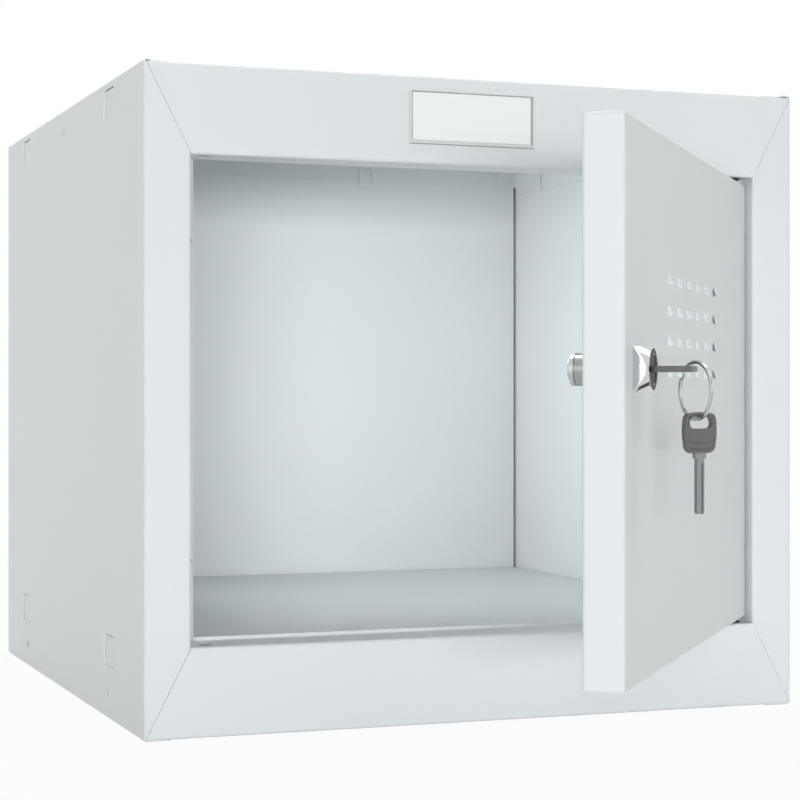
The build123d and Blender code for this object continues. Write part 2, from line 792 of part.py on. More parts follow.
# Files
pieces = [
    side_panel_left, side_panel_right, top_panel, bottom_rail, floor_tray, back_panel, corner_plates,
    pivot_bushes, label_holder, label_card, door_buffers, door_skin, pivot_blocks, pivot_pins,
    lock_body, lock_nut, lock_plug, lock_cam, cam_screw, key_blade, key_bow, key_ring,
    spare_key_blade, spare_key_bow,
]
os.makedirs("parts", exist_ok=True)
for piece in pieces:
    export_step(piece.part, f"parts/{piece.part.label}.step")
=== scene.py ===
"""Looks of a cube locker: powder-coated sheet steel, a chromed cam lock, two keys on a split ring."""

import logging
import math
from dataclasses import dataclass
from enum import Enum
from typing import Callable, Sequence

import bmesh
import bpy
import numpy as np
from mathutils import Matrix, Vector


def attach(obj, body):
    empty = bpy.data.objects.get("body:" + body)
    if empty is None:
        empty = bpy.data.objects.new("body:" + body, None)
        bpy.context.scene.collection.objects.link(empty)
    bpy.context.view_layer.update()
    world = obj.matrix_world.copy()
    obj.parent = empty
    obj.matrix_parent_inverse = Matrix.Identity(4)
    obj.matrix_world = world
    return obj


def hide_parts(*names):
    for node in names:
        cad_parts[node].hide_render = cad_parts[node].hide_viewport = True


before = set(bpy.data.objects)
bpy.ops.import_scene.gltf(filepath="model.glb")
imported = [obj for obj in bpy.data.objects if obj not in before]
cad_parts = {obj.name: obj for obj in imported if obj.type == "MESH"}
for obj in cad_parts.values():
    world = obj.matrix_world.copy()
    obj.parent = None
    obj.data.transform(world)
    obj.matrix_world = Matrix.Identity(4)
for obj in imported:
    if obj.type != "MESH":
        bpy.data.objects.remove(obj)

Tree = bpy.types.NodeTree
Node = bpy.types.Node
Socket = bpy.types.NodeSocket
MM = 0.001
log = logging.getLogger("cube_locker")


def linear(code: str) -> tuple[float, float, float, float]:
    """Turns an sRGB hex colour into linear light.

    Args:
        code: Colour such as "#e2e6e7".

    Returns:
        Red, green, blue and an alpha of 1.
    """
    channels = [int(code[i:i + 2], 16) / 255 for i in (1, 3, 5)]
    red, green, blue = (c / 12.92 if c <= 0.04045 else ((c + 0.055) / 1.055) ** 2.4 for c in channels)
    return red, green, blue, 1.0


def add_node(tree: Tree, kind: str, inputs: dict | None = None, **settings) -> Node:
    """Adds a node, sets its properties and fills its inputs.

    Args:
        tree: Tree that gets the node.
        kind: Node type's identifier.
        inputs: Values, or sockets to link from, by input name or number.
        **settings: Properties of the node.

    Returns:
        The new node.
    """
    node = tree.nodes.new(kind)
    for name, value in settings.items():
        setattr(node, name, value)
    for key, value in (inputs or {}).items():
        if isinstance(value, Socket):
            tree.links.new(value, node.inputs[key])
        else:
            node.inputs[key].default_value = value
    return node


def empty_material(name: str) -> tuple[bpy.types.Material, Tree, Socket]:
    """Makes a material without nodes.

    Args:
        name: Name of the material.

    Returns:
        The material, its node tree and its Object coordinates.
    """
    material = bpy.data.materials.new(name)
    material.use_nodes = True
    tree = material.node_tree
    tree.nodes.clear()
    return material, tree, add_node(tree, "ShaderNodeTexCoord").outputs["Object"]


def surface(tree: Tree, inputs: dict) -> None:
    """Ends a material with a Principled surface that has these inputs."""
    shader = add_node(tree, "ShaderNodeBsdfPrincipled", inputs)
    add_node(tree, "ShaderNodeOutputMaterial", {"Surface": shader.outputs["BSDF"]})


def noise(tree: Tree, place: Socket, size_mm: float, detail: float) -> Socket:
    """A noise with patches of this size, as its output socket."""
    return add_node(tree, "ShaderNodeTexNoise",
                    {"Vector": place, "Scale": 1 / (size_mm * MM), "Detail": detail}).outputs["Fac"]


def bump(tree: Tree, height: Socket, strength: float, distance_mm: float) -> Socket:
    """A bump of this height, as its normal socket."""
    return add_node(tree, "ShaderNodeBump", {"Height": height, "Strength": strength,
                                             "Distance": distance_mm * MM}).outputs["Normal"]


def drift(tree: Tree, share: Socket, colour: str, darkest: float, lightest: float) -> Socket:
    """A colour that drifts between two shades of itself, as its output socket."""
    return add_node(tree, "ShaderNodeMix", {"Factor": share, "A": shade(colour, darkest),
                                            "B": shade(colour, lightest)},
                    data_type="RGBA").outputs["Result"]


def between(tree: Tree, share: Socket, low: float, high: float) -> Socket:
    """A share from 0 to 1 brought between two values, as its output socket."""
    return add_node(tree, "ShaderNodeMapRange",
                    {"Value": share, "To Min": low, "To Max": high}).outputs["Result"]


def shade(code: str, share: float) -> tuple[float, float, float, float]:
    """A hex colour in linear light, made darker or lighter by a share."""
    red, green, blue, _ = linear(code)
    return min(1.0, red * share), min(1.0, green * share), min(1.0, blue * share), 1.0


@dataclass(frozen=True)
class PowderCoat:
    """Polyester powder coat, baked on sheet steel: an even satin colour with a fine orange peel."""

    name: str
    colour: str
    roughness: float = 0.42
    peel_mm: float = 1.6
    peel_height_mm: float = 0.1
    peel_strength: float = 0.12
    cloud_mm: float = 120.0
    colour_drift: float = 0.015
    gloss_drift: float = 0.04

    def material(self) -> bpy.types.Material:
        """Builds the coat's material.

        Returns:
            The material.
        """
        material, tree, place = empty_material(self.name)
        # Film thickness drifts over a panel, which shifts the colour by about a percent.
        cloud = noise(tree, place, self.cloud_mm, 2.0)
        # Orange peel: low waves between 1 and 2 mm across, seen only as a soft break in the gloss.
        peel = noise(tree, place, self.peel_mm, 1.0)
        gloss = between(tree, peel, self.roughness - self.gloss_drift,
                        self.roughness + self.gloss_drift)
        surface(tree, {"Base Color": drift(tree, cloud, self.colour, 1 - self.colour_drift,
                                           1 + self.colour_drift),
                       "Roughness": gloss, "IOR": 1.5,
                       "Normal": bump(tree, peel, self.peel_strength, self.peel_height_mm)})
        return material


@dataclass(frozen=True)
class PlatedMetal:
    """Plating on a casting or on wire: mirror bright with slow ripples, or dull and clouded."""

    name: str
    colour: str
    roughness: float
    ripple_mm: float
    ripple_height_mm: float
    cloud_mm: float = 5.0
    cloud_share: float = 0.04
    gloss_share: float = 0.2
    edge_tint: float = 1.0

    def material(self) -> bpy.types.Material:
        """Builds the plating's material.

        Returns:
            The material.
        """
        material, tree, place = empty_material(self.name)
        ripple = noise(tree, place, self.ripple_mm, 1.0)
        cloud = noise(tree, place, self.cloud_mm, 4.0)
        gloss = between(tree, cloud, self.roughness * (1 - self.gloss_share),
                        self.roughness * (1 + self.gloss_share))
        # Dark plating stays dark when it is seen edge on.
        edge = (self.edge_tint, self.edge_tint, self.edge_tint, 1.0)
        surface(tree, {"Base Color": drift(tree, cloud, self.colour, 1 - self.cloud_share,
                                           1 + self.cloud_share),
                       "Roughness": gloss, "Metallic": 1.0, "Specular Tint": edge,
                       "Normal": bump(tree, ripple, 1.0, self.ripple_height_mm)})
        return material


@dataclass(frozen=True)
class NickelSilver:
    """Rolled nickel silver strip, milled along its length: a warm grey with drawn lines."""

    name: str
    colour: str
    roughness: float = 0.3
    line_mm: float = 0.25
    line_height_mm: float = 0.03

    def material(self) -> bpy.types.Material:
        """Builds the strip's material; its lines run along Z, the length of a hanging blade.

        Returns:
            The material.
        """
        material, tree, place = empty_material(self.name)
        stretched = add_node(tree, "ShaderNodeMapping", {"Vector": place, "Scale": (1.0, 1.0, 0.05)})
        lines = noise(tree, stretched.outputs["Vector"], self.line_mm, 2.0)
        surface(tree, {"Base Color": drift(tree, lines, self.colour, 0.9, 1.1),
                       "Roughness": self.roughness, "Metallic": 1.0,
                       "Normal": bump(tree, lines, 0.4, self.line_height_mm)})
        return material


@dataclass(frozen=True)
class Moulded:
    """Moulded plastic or rubber: one colour right through, with the fine grain of its mould."""

    name: str
    colour: str
    roughness: float
    grain_mm: float
    grain_height_mm: float

    def material(self) -> bpy.types.Material:
        """Builds the moulding's material.

        Returns:
            The material.
        """
        material, tree, place = empty_material(self.name)
        grain = noise(tree, place, self.grain_mm, 3.0)
        surface(tree, {"Base Color": drift(tree, grain, self.colour, 0.92, 1.08),
                       "Roughness": self.roughness, "IOR": 1.5,
                       "Normal": bump(tree, grain, 0.5, self.grain_height_mm)})
        return material


@dataclass(frozen=True)
class Card:
    """Smooth white card: matt, with a trace of paper fibre."""

    name: str
    colour: str
    fibre_mm: float = 0.6
    fibre_height_mm: float = 0.02
    roughness: float = 0.75

    def material(self) -> bpy.types.Material:
        """Builds the card's material.

        Returns:
            The material.
        """
        material, tree, place = empty_material(self.name)
        fibre = noise(tree, place, self.fibre_mm, 5.0)
        surface(tree, {"Base Color": drift(tree, fibre, self.colour, 0.985, 1.0),
                       "Roughness": self.roughness, "IOR": 1.45,
                       "Normal": bump(tree, fibre, 0.2, self.fibre_height_mm)})
        return material


class Finish(Enum):
    """The finishes of the locker, each with what it is made of."""

    BODY_COAT = PowderCoat("powder_coat_light_grey", "#e2e6e8")
    CHROME = PlatedMetal("bright_chrome_on_zinc_casting", "#cdd0d2", 0.07, 7.0, 0.02)
    SATIN_CHROME = PlatedMetal("satin_chrome_on_brass", "#9da1a2", 0.3, 3.0, 0.01)
    DARK_NICKEL = PlatedMetal("dark_nickel_on_turned_brass", "#8b8e8e", 0.3, 2.5, 0.01, edge_tint=0.3)
    ZINC_PLATE = PlatedMetal("clear_zinc_plate_on_steel", "#b9bdc0", 0.34, 2.0, 0.01, 3.0, 0.1)
    RING_WIRE = PlatedMetal("nickel_plated_spring_wire", "#cbcdcc", 0.12, 4.0, 0.005)
    KEY_BLADE = NickelSilver("milled_nickel_silver", "#959997", 0.42)
    KEY_BOW = Moulded("moulded_grey_abs", "#5f6163", 0.42, 0.35, 0.01)
    NYLON = Moulded("moulded_black_nylon", "#232425", 0.5, 0.3, 0.01)
    RUBBER = Moulded("moulded_light_grey_rubber", "#c4c9cb", 0.8, 0.2, 0.01)
    LABEL_COAT = PowderCoat("powder_coat_pale_grey", "#dcdfdf")
    # Mid grey that paints the shade on the label frame's lower outer edge and window bevels; it is not a
    # coat of its own.
    PAINTED_SHADOW = PowderCoat("painted_shade_on_label_frame", "#a4a8a8", 0.5)
    LABEL_CARD = Card("white_label_card", "#f7f9fa")

    def material(self) -> bpy.types.Material:
        """The finish's material, built the first time that it is asked for."""
        return bpy.data.materials.get(self.value.name) or self.value.material()


def dress(node: str, finish: Finish) -> None:
    """Gives a CAD node its finish, leaving its mesh as it is.

    Args:
        node: Name of the CAD node.
        finish: Finish for all of it.
    """
    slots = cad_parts[node].data.materials
    slots.clear()
    slots.append(finish.material())
    log.info("dressed %s as %s", node, finish.value.name)


@dataclass(frozen=True)
class Axes:
    """A plane in the locker's frame: an origin in millimetres and three directions at right angles."""

    origin: Vector
    across: Vector
    upright: Vector
    normal: Vector

    def point(self, x: float, y: float, z: float) -> Vector:
        """The point at these millimetres along the three directions, in metres."""
        return (self.origin + self.across * x + self.upright * y + self.normal * z) * MM


UP = Vector((0.0, 0.0, 1.0))
DOOR_TURN = math.radians(49.7)
ALONG = Vector((math.cos(DOOR_TURN), math.sin(DOOR_TURN), 0.0))
OUTWARD = Vector((ALONG.y, -ALONG.x, 0.0))
# The middle of the lock's head on the door's face.
LOCK_FACE = Axes(Vector((-27.4697, -429.1400, 197.8)), ALONG, UP, OUTWARD)


def mesh_piece(name: str, points: Sequence, faces: Sequence, finish: Finish, body: str,
               smooth_angle: float = 35.0) -> bpy.types.Object:
    """Makes a piece from points and faces and lets it ride on a body.

    Args:
        name: Name of the piece.
        points: Places in metres, in the locker's frame.
        faces: Corner numbers of each face.
        finish: Finish for all of it.
        body: Body that carries it.
        smooth_angle: Edges sharper than these degrees stay sharp.

    Returns:
        The piece.
    """
    mesh = bpy.data.meshes.new(name)
    mesh.from_pydata([tuple(p) for p in points], [], [tuple(f) for f in faces])
    mesh.validate()
    return finish_piece(name, mesh, finish, body, smooth_angle)


def finish_piece(name: str, mesh: bpy.types.Mesh, finish: Finish, body: str,
                 smooth_angle: float = 35.0) -> bpy.types.Object:
    """Cleans a mesh, turns its faces outwards, dresses it and lets it ride on a body.

    Args:
        name: Name of the piece.
        mesh: Its mesh, in the locker's frame.
        finish: Finish for all of it.
        body: Body that carries it.
        smooth_angle: Edges sharper than these degrees stay sharp.

    Returns:
        The piece.
    """
    work = bmesh.new()
    work.from_mesh(mesh)
    bmesh.ops.remove_doubles(work, verts=work.verts, dist=1e-6)
    bmesh.ops.recalc_face_normals(work, faces=work.faces)
    work.to_mesh(mesh)
    work.free()
    mesh.materials.clear()
    mesh.materials.append(finish.material())
    mesh.shade_smooth()
    mesh.set_sharp_from_angle(angle=math.radians(smooth_angle))
    piece = bpy.data.objects.new(name, mesh)
    bpy.context.scene.collection.objects.link(piece)
    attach(piece, body)
    log.info("built %s on %s: %d faces", name, body, len(mesh.polygons))
    return piece


def ring_faces(rings: int, around: int, closed_rings: bool = False) -> list[tuple[int, ...]]:
    """Faces between rings of points.

    Args:
        rings: Number of rings.
        around: Points in each ring.
        closed_rings: Whether the last ring joins the first.

    Returns:
        Corner numbers of each face.
    """
    faces = []
    for i in range(rings if closed_rings else rings - 1):
        j = (i + 1) % rings
        for k in range(around):
            m = (k + 1) % around
            faces.append((i * around + k, i * around + m, j * around + m, j * around + k))
    return faces


@dataclass
class NodeForm:
    """A Geometry Nodes modifier with named inputs, turned into a plain mesh."""

    name: str
    sizes: dict[str, float]
    build: Callable[[Tree, Node], Socket]
    finish: Finish

    def mesh(self) -> bpy.types.Mesh:
        """Builds the tree, sets its inputs and evaluates it.

        Returns:
            The finished mesh in the form's own frame, in metres.
        """
        tree = bpy.data.node_groups.new(self.name, "GeometryNodeTree")
        tree.interface.new_socket("Geometry", in_out="INPUT", socket_type="NodeSocketGeometry")
        sockets = {label: tree.interface.new_socket(label, in_out="INPUT", socket_type="NodeSocketFloat")
                   for label in self.sizes}
        tree.interface.new_socket("Geometry", in_out="OUTPUT", socket_type="NodeSocketGeometry")
        entry = add_node(tree, "NodeGroupInput")
        shape = self.build(tree, entry)
        real = add_node(tree, "GeometryNodeRealizeInstances", {"Geometry": shape})
        dressed = add_node(tree, "GeometryNodeSetMaterial", {"Geometry": real.outputs["Geometry"]})
        dressed.inputs["Material"].default_value = self.finish.material()
        add_node(tree, "NodeGroupOutput", {0: dressed.outputs["Geometry"]})
        holder = bpy.data.objects.new(self.name + "_form", bpy.data.meshes.new(self.name + "_form"))
        bpy.context.scene.collection.objects.link(holder)
        modifier = holder.modifiers.new(self.name, "NODES")
        modifier.node_group = tree
        for label, value in self.sizes.items():
            modifier[sockets[label].identifier] = value
        result = bpy.data.meshes.new_from_object(
            holder.evaluated_get(bpy.context.evaluated_depsgraph_get()))
        holder.modifiers.remove(modifier)
        bpy.data.objects.remove(holder)
        return result


def settle(mesh: bpy.types.Mesh, axes: Axes) -> bpy.types.Mesh:
    """Moves a mesh from its own frame into the locker's.

    Args:
        mesh: Mesh in metres, with Z along the plane's normal.
        axes: Plane where it belongs.

    Returns:
        The same mesh, in place.
    """
    for vertex in mesh.vertices:
        x, y, z = vertex.co
        vertex.co = axes.origin * MM + axes.across * x + axes.upright * y + axes.normal * z
    return mesh


@dataclass
class Carcass:
    """The welded body: panels, rails, floor, back, gussets, bushes and buffers."""

    coated: tuple[str, ...] = ("side_panel_left", "side_panel_right", "top_panel", "bottom_rail",
                               "floor_tray", "back_panel", "corner_plates")

    def build(self) -> None:
        """Dresses the body's nodes."""
        for node in self.coated:
            dress(node, Finish.BODY_COAT)
        dress("pivot_bushes", Finish.NYLON)
        dress("door_buffers", Finish.RUBBER)


@dataclass
class LabelHolder:
    """The frame on the top rail and the blank card in it.

    The frame's section is a list of places from its outer edge to its window, each a share of the
    border's width and a height off the rail. The bevel down to the window and the lower outer edge
    get a darker grey: painted shade.
    """

    left: float = -47.8
    right: float = 29.6
    bottom: float = 327.3
    top: float = 357.6
    front: float = -200.0
    side_border: float = 2.3
    bottom_border: float = 2.4
    top_border: float = 1.1
    corner: float = 0.7
    corner_steps: int = 6
    section: tuple[tuple[float, float], ...] = (
        (0.0, 0.0), (0.0, 0.4), (0.1, 1.1), (0.2, 1.45), (0.32, 1.6), (0.5, 1.58), (0.62, 1.45),
        (0.8, 0.95), (0.95, 0.62), (1.0, 0.5), (1.0, 0.0))
    dark_share: float = 0.56
    edge_share: float = 0.16
    foot_share: float = 0.9

    def ring(self, share: float, rise: float) -> list[Vector]:
        """One line round the frame, a rectangle with rounded corners.

        Args:
            share: How far across the border it runs.
            rise: Its height off the rail in millimetres.

        Returns:
            Its points in metres.
        """
        left = self.left + self.side_border * share
        right = self.right - self.side_border * share
        bottom = self.bottom + self.bottom_border * share
        top = self.top - self.top_border * share
        radius = self.corner * (1 - 0.7 * share)
        corners = ((right - radius, top - radius), (left + radius, top - radius),
                   (left + radius, bottom + radius), (right - radius, bottom + radius))
        points = []
        for quarter, (x, z) in enumerate(corners):
            for step in range(self.corner_steps + 1):
                turn = math.radians(90 * quarter + 90 / self.corner_steps * step)
                points.append(Vector((x + radius * math.cos(turn), self.front - rise,
                                      z + radius * math.sin(turn))) * MM)
        return points

    def build(self) -> None:
        """Builds the frame in place of its CAD node and dresses the card."""
        rings = [self.ring(share, rise) for share, rise in self.section]
        points = [p for ring in rings for p in ring]
        frame_piece = mesh_piece("label_frame", points, ring_faces(len(rings), len(rings[0]), True),
                                 Finish.LABEL_COAT, "body", 40.0)
        # A darker grey paints shade on the lower outer edge and on the bevels beside and above the
        # window.
        frame_piece.data.materials.append(Finish.PAINTED_SHADOW.material())
        for face in frame_piece.data.polygons:
            face.material_index = int(self.in_painted_shade(face.center / MM))
        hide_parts("label_holder")
        dress("label_card", Finish.LABEL_CARD)

    def in_painted_shade(self, place: Vector) -> bool:
        """Whether a place on the frame gets the darker grey of painted shade.

        Args:
            place: The place in millimetres.

        Returns:
            True on the lower outer edge and on the bevels beside and above the window, where shade is
            painted.
        """
        if place.z < self.bottom + self.edge_share * self.bottom_border:
            return True
        reach = min((place.x - self.left) / self.side_border, (self.right - place.x) / self.side_border,
                    (self.top - place.z) / self.top_border)
        return self.dark_share < reach and place.z > self.bottom + self.foot_share * self.bottom_border


@dataclass
class Door:
    """The folded door with its pins and the blocks that hold them."""

    def build(self) -> None:
        """Dresses the door's nodes."""
        dress("door_skin", Finish.BODY_COAT)
        dress("pivot_blocks", Finish.ZINC_PLATE)
        dress("pivot_pins", Finish.ZINC_PLATE)


@dataclass
class LockSet:
    """Cam lock: square head cut round by a cone, threaded barrel, nut, core, cam and screw."""

    head_square: float = 21.2
    head_corner_power: float = 24.0
    head_round: float = 19.5
    head_cone: float = 29.6
    head_stand: float = 7.3
    rim_round: float = 0.45
    blend: float = 0.3
    around: int = 256
    side_steps: int = 28
    rim_steps: int = 6
    bore_chamfer: float = 0.2
    core_head: float = 13.76
    core_bore: float = 11.16
    core_seat: float = 2.8
    barrel_round: float = 15.4
    barrel_flats: float = 13.6
    barrel_length: float = 28.2
    thread_pitch: float = 1.0
    thread_depth: float = 0.5
    plain_tail: float = 8.0

    def head_radius(self, turn: float, rise: float) -> float:
        """Distance from the lock's axis to the head's side.

        Args:
            turn: Angle round the axis.
            rise: Height above the door.

        Returns:
            The distance in millimetres, with the meeting edges softened.
        """
        half = self.head_square / 2
        power = self.head_corner_power
        flat = half / (abs(math.cos(turn)) ** power + abs(math.sin(turn)) ** power) ** (1 / power)
        cone = self.head_cone / 2 - (self.head_cone - self.head_round) / 2 * rise / self.head_stand
        spread = max(self.blend - abs(flat - cone), 0.0) / self.blend
        return min(flat, cone) - spread * spread * self.blend / 4

    def head(self) -> bpy.types.Object:
        """Builds the head with its bore.

        Returns:
            The head.
        """
        turns = [2 * math.pi * k / self.around for k in range(self.around)]
        rings: list[list[tuple[float, float, float]]] = []
        for step in range(self.side_steps + 1):
            rise = (self.head_stand - self.rim_round) * step / self.side_steps
            rings.append([(self.head_radius(t, rise), t, rise) for t in turns])
        for step in range(1, self.rim_steps + 1):
            bow = math.pi / 2 * step / self.rim_steps
            rise = self.head_stand - self.rim_round * (1 - math.sin(bow))
            draw = self.rim_round * (1 - math.cos(bow))
            rings.append([(self.head_radius(t, rise) - draw, t, rise) for t in turns])
        bore = self.core_head / 2
        for radius, rise in ((bore + self.bore_chamfer, self.head_stand),
                             (bore, self.head_stand - self.bore_chamfer),
                             (bore, self.head_stand - self.core_seat),
                             (self.core_bore / 2, self.head_stand - self.core_seat),
                             (self.core_bore / 2, 0.0)):
            rings.append([(radius, t, rise) for t in turns])
        points = [LOCK_FACE.point(r * math.cos(t), r * math.sin(t), h)
                  for ring in rings for r, t, h in ring]
        head = mesh_piece("lock_head", points, ring_faces(len(rings), self.around, True),
                          Finish.CHROME, "door")
        head.data.materials.append(Finish.DARK_NICKEL.material())
        # The turned front face, inside the rim's round, is dark; the rest is chromed.
        level = self.head_stand - 0.5 * self.rim_round
        for face in head.data.polygons:
            rise = (face.center / MM - LOCK_FACE.origin).dot(OUTWARD)
            face.material_index = int(rise > level and face.normal.dot(OUTWARD) > 0.9)
        return head

    def thread_nodes(self, tree: Tree, entry: Node) -> Socket:
        """Geometry Nodes for the barrel: a thread wound on a round bar, then two flats.

        Args:
            tree: Tree to build in.
            entry: Its Group Input node.

        Returns:
            The barrel's geometry.
        """
        size = entry.outputs

        def math_node(operation: str, *values) -> Socket:
            """A Math node over the values, as its output socket."""
            return add_node(tree, "ShaderNodeMath", dict(enumerate(values)),
                            operation=operation).outputs[0]

        bar = add_node(tree, "GeometryNodeMeshCylinder",
                       {"Vertices": 96, "Side Segments": 150,
                        "Radius": size["Radius"], "Depth": size["Length"]}, fill_type="NONE")
        lowered = add_node(tree, "GeometryNodeTransform",
                           {"Geometry": bar.outputs["Mesh"],
                            "Translation": add_node(tree, "ShaderNodeCombineXYZ", {
                                "Z": math_node("MULTIPLY", size["Length"], -0.5)}).outputs[0]})
        place = add_node(tree, "ShaderNodeSeparateXYZ",
                         {0: add_node(tree, "GeometryNodeInputPosition").outputs[0]})
        turn = math_node("DIVIDE", math_node("ARCTAN2", place.outputs["Y"], place.outputs["X"]),
                         2 * math.pi)
        wound = math_node("ADD", math_node("DIVIDE", place.outputs["Z"], size["Pitch"]), turn)
        cut = add_node(tree, "ShaderNodeMapRange",
                       {"Value": place.outputs["Z"], "From Min": size["Thread end"],
                        "From Max": math_node("ADD", size["Thread end"], size["Pitch"]), "To Min": 0.0,
                        "To Max": math_node("MULTIPLY", size["Thread depth"], 2.0)})
        groove = math_node("MULTIPLY", math_node("ABSOLUTE", math_node(
            "SUBTRACT", math_node("FRACT", wound), 0.5)), cut.outputs["Result"])
        share = math_node("DIVIDE", math_node("SUBTRACT", size["Radius"], groove), size["Radius"])
        flat_x = math_node("MULTIPLY", place.outputs["X"], share)
        flat_y = math_node("MULTIPLY", place.outputs["Y"], share)
        low_y = math_node("MAXIMUM", flat_y, math_node("MULTIPLY", size["Flat"], -1.0))
        cut_y = math_node("MINIMUM", low_y, size["Flat"])
        spot = add_node(tree, "ShaderNodeCombineXYZ",
                        {"X": flat_x, "Y": cut_y, "Z": place.outputs["Z"]})
        threaded = add_node(tree, "GeometryNodeSetPosition",
                            {"Geometry": lowered.outputs["Geometry"], "Position": spot.outputs[0]})
        return threaded.outputs["Geometry"]

    def barrel(self) -> bpy.types.Object:
        """Builds the threaded barrel, a sleeve closed at its end.

        Returns:
            The barrel.
        """
        form = NodeForm("lock_barrel", {
            "Radius": self.barrel_round / 2 * MM, "Length": self.barrel_length * MM,
            "Pitch": self.thread_pitch * MM, "Thread depth": self.thread_depth * MM,
            "Thread end": (self.plain_tail - self.barrel_length) * MM,
            "Flat": self.barrel_flats / 2 * MM}, self.thread_nodes, Finish.SATIN_CHROME)
        mesh = settle(form.mesh(), LOCK_FACE)
        sleeve = self.sleeve_end(mesh)
        return finish_piece("lock_barrel", sleeve, Finish.SATIN_CHROME, "door", 25.0)

    def sleeve_end(self, mesh: bpy.types.Mesh) -> bpy.types.Mesh:
        """Joins the barrel's outer thread to its bore at both ends.

        Args:
            mesh: The open outer thread, in place.

        Returns:
            The same mesh, closed.
        """
        work = bmesh.new()
        work.from_mesh(mesh)
        bmesh.ops.remove_doubles(work, verts=work.verts, dist=1e-6)
        open_edges = [e for e in work.edges if e.is_boundary]
        axis = LOCK_FACE.origin * MM
        made = bmesh.ops.extrude_edge_only(work, edges=open_edges)["geom"]
        inner = [v for v in made if isinstance(v, bmesh.types.BMVert)]
        for vertex in inner:
            rise = (vertex.co - axis).dot(OUTWARD)
            foot = axis + OUTWARD * rise
            vertex.co = foot + (vertex.co - foot).normalized() * (self.core_bore / 2 * MM)
        rims = [e for e in work.edges if e.is_boundary]
        bmesh.ops.bridge_loops(work, edges=rims)
        work.to_mesh(mesh)
        work.free()
        return mesh

    def build(self) -> None:
        """Builds the head and barrel and dresses the rest of the lock."""
        head = self.head()
        barrel = self.barrel()
        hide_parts("lock_body")
        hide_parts("lock_body")
        dress("lock_nut", Finish.ZINC_PLATE)
        dress("lock_plug", Finish.DARK_NICKEL)
        dress("lock_cam", Finish.ZINC_PLATE)
        dress("cam_screw", Finish.ZINC_PLATE)


@dataclass
class KeyBow:
    """Moulded key bow: a shield with a pill slot near its top, a sunk border line and a sunk smile."""

    name: str
    axes: Axes
    body: str
    node: str
    width: float = 22.3
    length: float = 18.5
    thickness: float = 2.6
    foot_width: float = 20.5
    crown: float = 0.9
    bulge: float = 1.45
    top_corner: float = 3.4
    foot_corner: float = 4.8
    slot_width: float = 15.2
    slot_height: float = 5.2
    rim: float = 2.2
    edge_round: float = 0.45
    rays: int = 240
    rings: int = 44
    ease: float = 0.55
    line_end: float = 0.6
    line_inset: float = 1.8
    line_width: float = 0.6
    line_depth: float = 0.6
    smile_rise: float = 4.4
    smile_radius: float = 25.0

    def outline(self) -> list[tuple[float, float]]:
        """The bow's outline, anticlockwise from the right of its crown.

        Returns:
            Points in millimetres across and up from the middle of its lower edge.
        """
        shoulder = self.length - self.crown
        top_half = self.width / 2 - self.bulge
        foot_half = self.foot_width / 2 - self.bulge
        middle_half = (top_half + foot_half) / 2 + self.bulge
        crown = arc_through((top_half, shoulder), (0.0, self.length), (-top_half, shoulder), 24)
        left = arc_through((-top_half, shoulder), (-middle_half, shoulder / 2), (-foot_half, 0.0), 24)
        right = arc_through((foot_half, 0.0), (middle_half, shoulder / 2), (top_half, shoulder), 24)
        corners = [(top_half, shoulder), (-top_half, shoulder), (-foot_half, 0.0), (foot_half, 0.0)]
        sharp = crown[:-1] + left[:-1] + [(-foot_half, 0.0), (foot_half, 0.0)] + right[1:-1]
        return round_corners(sharp, corners, [self.top_corner, self.top_corner,
                                              self.foot_corner, self.foot_corner])

    def slot_outline(self) -> list[tuple[float, float]]:
        """The ring slot's outline, with fully rounded ends.

        Returns:
            Points in millimetres, anticlockwise.
        """
        radius = self.slot_height / 2
        middle = self.length - self.rim - radius
        reach = self.slot_width / 2 - radius
        points = []
        for side, start in ((1, -90), (-1, 90)):
            for step in range(25):
                turn = math.radians(start + 180 * step / 24)
                points.append((side * reach + radius * math.cos(turn), middle + radius * math.sin(turn)))
        return points

    def build(self) -> bpy.types.Object:
        """Builds the bow in place of its CAD node.

        Returns:
            The bow.
        """
        outer = np.array(self.outline())
        inner = np.array(self.slot_outline())
        centre = inner.mean(axis=0)
        turns = np.linspace(0, 2 * math.pi, self.rays, endpoint=False)
        headings = np.stack([np.cos(turns), np.sin(turns)], axis=1)
        far = ray_hits(centre, headings, outer)
        near = ray_hits(centre, headings, inner)
        # The rings stand closer together at both edges, where the rounds are.
        steps = np.linspace(0, 1, self.rings)
        eased = 0.5 - 0.5 * np.cos(math.pi * steps)
        shares = self.ease * eased + (1 - self.ease) * steps
        flat = [centre + headings * (near + (far - near) * share)[:, None] for share in shares]
        plan = np.concatenate(flat)
        to_outer = distance_to_line(plan, outer)
        to_slot = distance_to_line(plan, inner)
        height = self.thickness / 2 - self.edge_drop(to_outer) - self.edge_drop(to_slot)
        panel = to_outer - self.line_inset
        height -= self.line_depth * groove(panel, self.line_width) * (to_slot > self.line_end)
        smile_centre = np.array([0.0, self.smile_rise + self.smile_radius])
        smile = np.linalg.norm(plan - smile_centre, axis=1) - self.smile_radius
        inside = (to_outer > self.line_inset) & (plan[:, 1] < self.smile_rise + self.smile_radius)
        height -= self.line_depth * groove(smile, self.line_width) * inside
        count = self.rings
        around = self.rays
        front = [self.axes.point(x, y, z) for (x, y), z in zip(plan, height)]
        rear = [self.axes.point(x, y, -z) for (x, y), z in zip(plan, height)]
        rear_rings = [rear[i * around:(i + 1) * around] for i in range(count)][::-1]
        points = front + [p for ring in rear_rings for p in ring]
        piece = mesh_piece(self.name, points, ring_faces(2 * count, around, True),
                           Finish.KEY_BOW, self.body, 50.0)
        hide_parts(self.node)
        return piece

    def edge_drop(self, distance: np.ndarray) -> np.ndarray:
        """How far the face falls away near an edge, as a quarter round.

        Args:
            distance: Distances from the edge in millimetres.

        Returns:
            The drops in millimetres.
        """
        near = np.clip(self.edge_round - distance, 0, self.edge_round)
        return self.edge_round - np.sqrt(np.maximum(self.edge_round ** 2 - near ** 2, 0))


